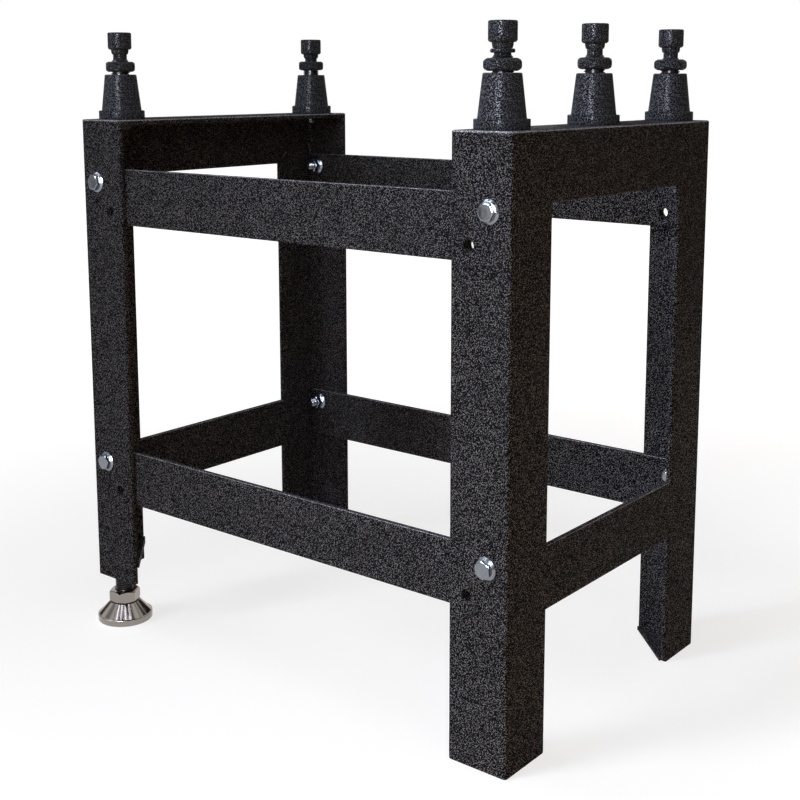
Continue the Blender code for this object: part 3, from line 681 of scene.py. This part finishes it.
def angle_section():
    """The L section of the angle iron: distances from its two outer faces."""
    corners = [
        (0, 0, ANGLE_HEEL_RADIUS),
        (ANGLE_LEG, 0, ANGLE_TOE_RADIUS),
        (ANGLE_LEG, ANGLE_WALL, ANGLE_TOE_RADIUS),
        (ANGLE_WALL, ANGLE_WALL, ANGLE_ROOT_RADIUS),
        (ANGLE_WALL, ANGLE_LEG, ANGLE_TOE_RADIUS),
        (0, ANGLE_LEG, ANGLE_TOE_RADIUS)]
    return softened(corners, closed=True, steps=3)


def corner_of(side, face):
    """Outer corner of a leg and the signs that lead inward from it."""
    low, high = box_of(f"{side}_{face}_leg")
    x, inward = (low.x, 1) if side == "left" else (high.x, -1)
    y, back = (low.y, 1) if face == "front" else (high.y, -1)
    return x, y, inward, back


def make_mitre_weld(side, face):
    """Ground flush outside, so only a filler in the gap, and beads along the inner seams."""
    x, y, inward, back = corner_of(side, face)
    half_gap = WELD_GAP / math.sqrt(2)
    flush = TOP_EDGE_RADIUS * (1 - math.sqrt(0.5))
    outline = [(point.x, max(point.y, flush)) for point in angle_section()]
    leg_loop = [(x + inward * u, y + back * v, FRAME_HEIGHT - v - half_gap) for u, v in outline]
    beam_loop = [(x + inward * u, y + back * (v + half_gap), FRAME_HEIGHT - v) for u, v in outline]
    filler = bmesh.new()
    skin(filler, [leg_loop, beam_loop], closed=False)
    bmesh.ops.remove_doubles(filler, verts=filler.verts, dist=SAME_POINT)
    add_piece(f"{side}_{face}_mitre_filler", filler, "frame_paint", "frame")
    wall = x + inward * ANGLE_WALL
    toe = ANGLE_LEG - WELD_SHORT_OF_EDGE
    root = ANGLE_WALL + ANGLE_ROOT_RADIUS
    seam_bead = bead(
        (wall, y + back * toe, FRAME_HEIGHT - toe), (wall, y + back * root, FRAME_HEIGHT - root),
        (inward, 0, 0), MITRE_BEAD)
    add_piece(f"{side}_{face}_mitre_bead", seam_bead, "frame_paint", "frame")
    inner_y, inner_z = y + back * ANGLE_WALL, FRAME_HEIGHT - ANGLE_WALL
    start, stop = (x + inward * u for u in CORNER_BEAD_SPAN)
    corner_bead = bead((start, inner_y, inner_z), (stop, inner_y, inner_z), (0, back, -1), CORNER_BEAD)
    add_piece(f"{side}_{face}_corner_bead", corner_bead, "frame_paint", "frame")


def make_end_bar_weld(side, face):
    """Fills the toe groove between leg and end bar flush outside, with a low bead inside."""
    x, y, inward, back = corner_of(side, face)
    low = END_BAR_CENTRE - BAR_HEIGHT / 2 + WELD_SHORT_OF_EDGE
    high = END_BAR_CENTRE + BAR_HEIGHT / 2 - WELD_SHORT_OF_EDGE
    near = ANGLE_LEG - ANGLE_TOE_RADIUS - FILLER_LAP[0]
    far = ANGLE_LEG + WELD_GAP + FILLER_LAP[1]
    outer, inner = -FILLER_PROUD, ANGLE_WALL + FILLER_PROUD
    outline = [(near, outer), (far, outer), (far, inner), (near, inner)]
    loops = [[(x + inward * depth, y + back * reach, z) for reach, depth in outline] for z in (low, high)]
    filler = bmesh.new()
    skin(filler, loops, closed=False)
    add_piece(f"{side}_{face}_bar_filler", filler, "frame_paint", "frame")
    wall = x + inward * ANGLE_WALL
    seam = y + back * (ANGLE_LEG - BAR_BEAD_FROM_TOE)
    bar_bead = bead((wall, seam, low), (wall, seam, high), (inward, 0, 0), BAR_BEAD)
    add_piece(f"{side}_{face}_bar_bead", bar_bead, "frame_paint", "frame")


def make_plate_weld(side, face):
    """Fillet beads where a foot plate meets the two walls of its leg."""
    x, y, inward, back = corner_of(side, face)
    top = box_of(f"{side}_{face}_foot_plate")[1].z
    start, stop = PLATE_BEAD_SPAN
    wall_x, wall_y = x + inward * ANGLE_WALL, y + back * ANGLE_WALL
    depth_bead = bead(
        (wall_x, y + back * start, top), (wall_x, y + back * stop, top), (inward, 0, 1), PLATE_BEAD)
    add_piece(f"{side}_{face}_plate_bead_a", depth_bead, "frame_paint", "frame")
    length_bead = bead(
        (x + inward * start, wall_y, top), (x + inward * stop, wall_y, top), (0, back, 1), PLATE_BEAD)
    add_piece(f"{side}_{face}_plate_bead_b", length_bead, "frame_paint", "frame")


# Studio, in metres

SOFTBOXES = [                  # name, place, aim, width, height, watts, colour, spread in degrees
    ("key_softbox", (-0.55, -2.0, 1.2), (0.55, -0.18, 0.1), 1.2, 1.8, 8, "#e8eeff", 34),
    ("front_softbox", (0.58, -1.9, 1.87), (0.1, -0.18, 0.5), 1.4, 0.5, 5, "#e9efff", 180),
    ("side_softbox", (-1.38, -0.51, 2.2), (0, -0.18, 0.5), 0.8, 0.8, 10, "#e9efff", 180),
    ("warm_fill", (1.15, -0.75, 0.25), (0.28, -0.1, 0.2), 0.5, 0.4, 1.75, "#ffc05c", 180),
    ("glint_panel", (0.76, -2.1, 1.1), (0.1, -0.18, 0.65), 0.9, 1.2, 220, "#e4ebff", 180)]
STRIP_COUNT = 4
STRIP_SPACING = 0.63
STRIP_SIZE = (0.2, 0.8)
STRIP_WATTS = 3.6
STRIPS_MIDDLE = Vector((0.05, -0.75, 2.3))
CEILING_BOARD_RISE = 0.45      # above the strips
CEILING_BOARD_SIZE = (3.4, 3.4)
REAR_BOARD_PLACE = (1.5, 1.3, 0.75)
REAR_BOARD_AIM = (0.2, 0, 0.75)
REAR_BOARD_SIZE = (2.6, 1.5)
BOARD_RING = 2.4
BOARD_COUNT = 10
BOARD_MIDDLE = Vector((0, 0, 1.2))
BOARD_SIZE = (0.8, 2.4)
CARD_STEP = 6                  # the board of the ring that the left bolt heads mirror; it is a glowing grey card
AMBIENT_STRENGTH = 0.14
FLOOR_RADIUS = 9
FLOOR_FACETS = 96
FLOOR_DROP = 0.0005            # keeps the floor clear of the feet
PAPER_NEAR = 0.4               # from the floor's middle to where its paper begins to rise to white
PAPER_FAR = 1.4                # and to where it is fully lifted
PAPER_LIFT = 0.72              # share of white that lifts the paper nearer than that


def aimed(place, target):
    return (Vector(target) - Vector(place)).to_track_quat("-Z", "Y").to_euler()


def add_softbox(name, place, turn, width, height, watts, colour, spread=180):
    lamp = bpy.data.lights.new(name, "AREA")
    lamp.shape = "RECTANGLE"
    lamp.size, lamp.size_y = width, height
    lamp.energy = watts
    lamp.spread = math.radians(spread)
    lamp.color = linear(colour)[:3]
    item = bpy.data.objects.new(name, lamp)
    item.location = place
    item.rotation_euler = turn
    item.visible_camera = False
    bpy.context.scene.collection.objects.link(item)
    return item


def add_board(name, place, turn, size, material):
    """A board that only mirrors see, so that gloss has something dark to show between the lamps."""
    shape = bmesh.new()
    bmesh.ops.create_grid(shape, x_segments=1, y_segments=1, size=0.5)
    bmesh.ops.scale(shape, vec=(*size, 1), verts=shape.verts)
    mesh = bpy.data.meshes.new(name)
    shape.to_mesh(mesh)
    shape.free()
    mesh.materials.append(material)
    item = bpy.data.objects.new(name, mesh)
    item.location = place
    item.rotation_euler = turn
    item.visible_camera = False
    item.visible_diffuse = False
    item.visible_transmission = False
    item.visible_shadow = False
    bpy.context.scene.collection.objects.link(item)


def brown_board():
    material, tree, _ = new_material("brown_board")
    matt = add_node(tree, "ShaderNodeBsdfDiffuse", {"Color": linear("#8a735c")})
    add_node(tree, "ShaderNodeOutputMaterial", {"Surface": matt.outputs[0]})
    return material


def glowing_grey_card():
    """A card that glows evenly though it is no lamp, a painted reflection for mirrors only, so that the
    bolt heads that mirror it are an even grey.
    """
    material, tree, _ = new_material("glowing_grey_card")
    glow = add_node(tree, "ShaderNodeEmission", {"Color": linear("#a2a6ac")})
    add_node(tree, "ShaderNodeOutputMaterial", {"Surface": glow.outputs[0]})
    return material


def seen_directly(tree):
    """1 for rays from the camera, a mirror or glass, which see the white background."""
    path = add_node(tree, "ShaderNodeLightPath")
    camera_or_mirror = add_node(
        tree, "ShaderNodeMath", {0: path.outputs["Is Camera Ray"], 1: path.outputs["Is Glossy Ray"]},
        operation="MAXIMUM")
    any_of_them = add_node(
        tree, "ShaderNodeMath", {0: camera_or_mirror.outputs[0], 1: path.outputs["Is Transmission Ray"]},
        operation="MAXIMUM")
    return any_of_them.outputs[0]


def make_world():
    """White where it is seen, and a low warm light on the object."""
    world = bpy.data.worlds.new("white_studio")
    world.use_nodes = True
    tree = world.node_tree
    tree.nodes.clear()
    ambient = add_node(
        tree, "ShaderNodeBackground", {"Color": linear("#ffe6cc"), "Strength": AMBIENT_STRENGTH})
    white = add_node(tree, "ShaderNodeBackground", {"Color": (1, 1, 1, 1), "Strength": 1.0})
    mixed = add_node(
        tree, "ShaderNodeMixShader", {0: seen_directly(tree), 1: ambient.outputs[0], 2: white.outputs[0]})
    add_node(tree, "ShaderNodeOutputWorld", {"Surface": mixed.outputs[0]})
    bpy.context.scene.world = world


def paper_floor():
    """White paper: it keeps the object's shadow, and rises to the white of the background further out.
    It throws a warm light back onto the object."""
    material, tree, spot = new_material("white_paper_floor")
    bounce = add_node(tree, "ShaderNodeBsdfDiffuse", {"Color": linear("#b39a7c")})
    paper = add_node(tree, "ShaderNodeBsdfDiffuse", {"Color": linear("#a09e9b")})
    reach = add_node(tree, "ShaderNodeVectorMath", {0: spot}, operation="LENGTH")
    rise = add_node(
        tree, "ShaderNodeMapRange",
        {"Value": reach.outputs["Value"], "From Min": PAPER_NEAR, "From Max": PAPER_FAR,
         "To Min": PAPER_LIFT, "To Max": 1.0})
    lift = add_node(tree, "ShaderNodeEmission", {"Color": (1, 1, 1, 1), "Strength": rise.outputs[0]})
    lifted = add_node(tree, "ShaderNodeAddShader", {0: paper.outputs[0], 1: lift.outputs[0]})
    mixed = add_node(
        tree, "ShaderNodeMixShader", {0: seen_directly(tree), 1: bounce.outputs[0], 2: lifted.outputs[0]})
    add_node(tree, "ShaderNodeOutputMaterial", {"Surface": mixed.outputs[0]})
    return material


def make_floor():
    mesh = bpy.data.meshes.new("floor")
    shape = bmesh.new()
    bmesh.ops.create_circle(shape, cap_ends=True, segments=FLOOR_FACETS, radius=FLOOR_RADIUS)
    shape.to_mesh(mesh)
    shape.free()
    floor = bpy.data.objects.new("floor", mesh)
    floor.location = (0, 0, -FLOOR_DROP)
    bpy.context.scene.collection.objects.link(floor)
    mesh.materials.append(paper_floor())


def make_lamps():
    """Cool soft light from the front and the left, a warm fill from the right, and strips overhead
    that the chrome foot draws out into streaks."""
    lamps = {}
    for name, place, aim, width, height, watts, colour, spread in SOFTBOXES:
        lamps[name] = add_softbox(name, place, aimed(place, aim), width, height, watts, colour, spread)
    lamps["warm_fill"].visible_glossy = False      # or metal would show it as an orange spot
    lamps["glint_panel"].visible_diffuse = False   # it only makes gloss glint, on the turned supports most
    azimuth = math.radians(CAMERA_AZIMUTH)
    sideways = Vector((math.cos(azimuth), math.sin(azimuth), 0))
    for step in range(STRIP_COUNT):
        place = STRIPS_MIDDLE + sideways * STRIP_SPACING * (step - (STRIP_COUNT - 1) / 2)
        add_softbox(f"top_strip_{step}", place, (0, 0, azimuth), *STRIP_SIZE, STRIP_WATTS, "#e9efff")


def make_boards():
    """Boards behind, all round and overhead; one board of the ring is a grey card that glows, a painted
    reflection for the bolt heads.
    """
    board = brown_board()
    glowing_card = glowing_grey_card()
    rear_turn = aimed(REAR_BOARD_PLACE, REAR_BOARD_AIM)
    add_board("rear_board", REAR_BOARD_PLACE, rear_turn, REAR_BOARD_SIZE, board)
    for step in range(BOARD_COUNT):
        bearing = math.tau * step / BOARD_COUNT
        place = Vector((math.cos(bearing), math.sin(bearing), 0)) * BOARD_RING + BOARD_MIDDLE
        material = glowing_card if step == CARD_STEP else board
        add_board(f"ring_board_{step}", place, aimed(place, BOARD_MIDDLE), BOARD_SIZE, material)
    ceiling = STRIPS_MIDDLE + Vector((0, 0, CEILING_BOARD_RISE))
    ceiling_turn = (0, 0, math.radians(CAMERA_AZIMUTH))
    add_board("ceiling_board", ceiling, ceiling_turn, CEILING_BOARD_SIZE, board)


def make_camera():
    azimuth = math.radians(CAMERA_AZIMUTH)
    elevation = math.radians(CAMERA_ELEVATION)
    roll = math.radians(CAMERA_ROLL)
    level = math.cos(elevation)
    ahead = Vector((-math.sin(azimuth) * level, math.cos(azimuth) * level, -math.sin(elevation)))
    right = Vector((math.cos(azimuth), math.sin(azimuth), 0))
    up = right.cross(ahead)
    rolled_right = right * math.cos(roll) + up * math.sin(roll)
    rolled_up = up * math.cos(roll) - right * math.sin(roll)
    lens = bpy.data.cameras.new("camera")
    lens.sensor_width = SENSOR_WIDTH
    lens.lens = FOCAL_PIXELS * SENSOR_WIDTH / IMAGE_SIZE
    lens.shift_y = (PRINCIPAL_ROW - IMAGE_SIZE / 2) / IMAGE_SIZE
    lens.clip_end = VIEW_REACH
    item = bpy.data.objects.new("camera", lens)
    turn = Matrix((rolled_right, rolled_up, -ahead)).transposed().to_4x4()
    item.matrix_world = Matrix.Translation(Vector(CAMERA_PLACE) * MM) @ turn
    bpy.context.scene.collection.objects.link(item)
    bpy.context.scene.camera = item


def main():
    bpy.context.scene.view_settings.view_transform = "Standard"
    make_camera()
    make_world()
    make_floor()
    make_lamps()
    make_boards()
    paint_solids()
    for name in SUPPORTS:
        make_support(name)
    for face in FACES:
        for side in SIDES:
            make_mitre_weld(side, face)
            make_end_bar_weld(side, face)
            make_plate_weld(side, face)
            for row in ROWS:
                make_fastening(face, row, side)
    make_foot()


main()
